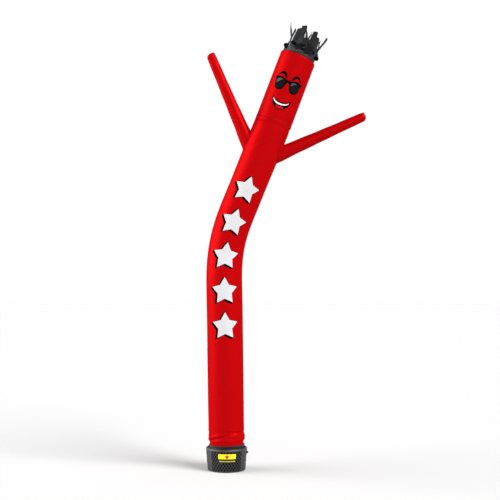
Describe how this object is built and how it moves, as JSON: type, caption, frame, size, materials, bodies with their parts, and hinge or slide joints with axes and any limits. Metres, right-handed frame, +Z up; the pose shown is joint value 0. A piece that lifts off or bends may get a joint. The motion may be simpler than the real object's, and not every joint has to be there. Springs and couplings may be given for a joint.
{
  "type": "inflatable air dancer with its blower drum",
  "caption": "Inflatable air dancer: a leaning red cloth tube with raised tapered arms, black streamer hair and a printed face, strapped on to a squat black blower drum.",
  "frame": {"origin": "centre of the blower drum's flat foot, on the surface that it stands on", "axes": "+Z up from the drum's foot; -Y towards the viewer of the printed front; +X towards the side the tube leans to"},
  "size_m": [2.0128, 0.513, 5.6037],
  "materials": {
    "red_nylon": "ripstop nylon with a soft sheen",
    "black_nylon": "crumpled black nylon",
    "black_webbing": "woven black strap with a soft sheen",
    "black_drum": "black moulded plastic with a fine raised net",
    "black_knob": "black plastic",
    "yellow_plate": "plain yellow plate"
  },
  "bodies": {
    "root": {"tube_body": "red_nylon", "tube_head": "red_nylon", "arm_left": "red_nylon", "arm_right": "red_nylon", "crown": "black_nylon", "streamer_hair": "black_nylon", "hem_strap": "black_webbing", "strap_end": "black_webbing", "blower_drum": "black_drum", "rim_knob": "black_knob", "front_plate": "yellow_plate", "front_strip": "yellow_plate"}
  },
  "joints": []
}
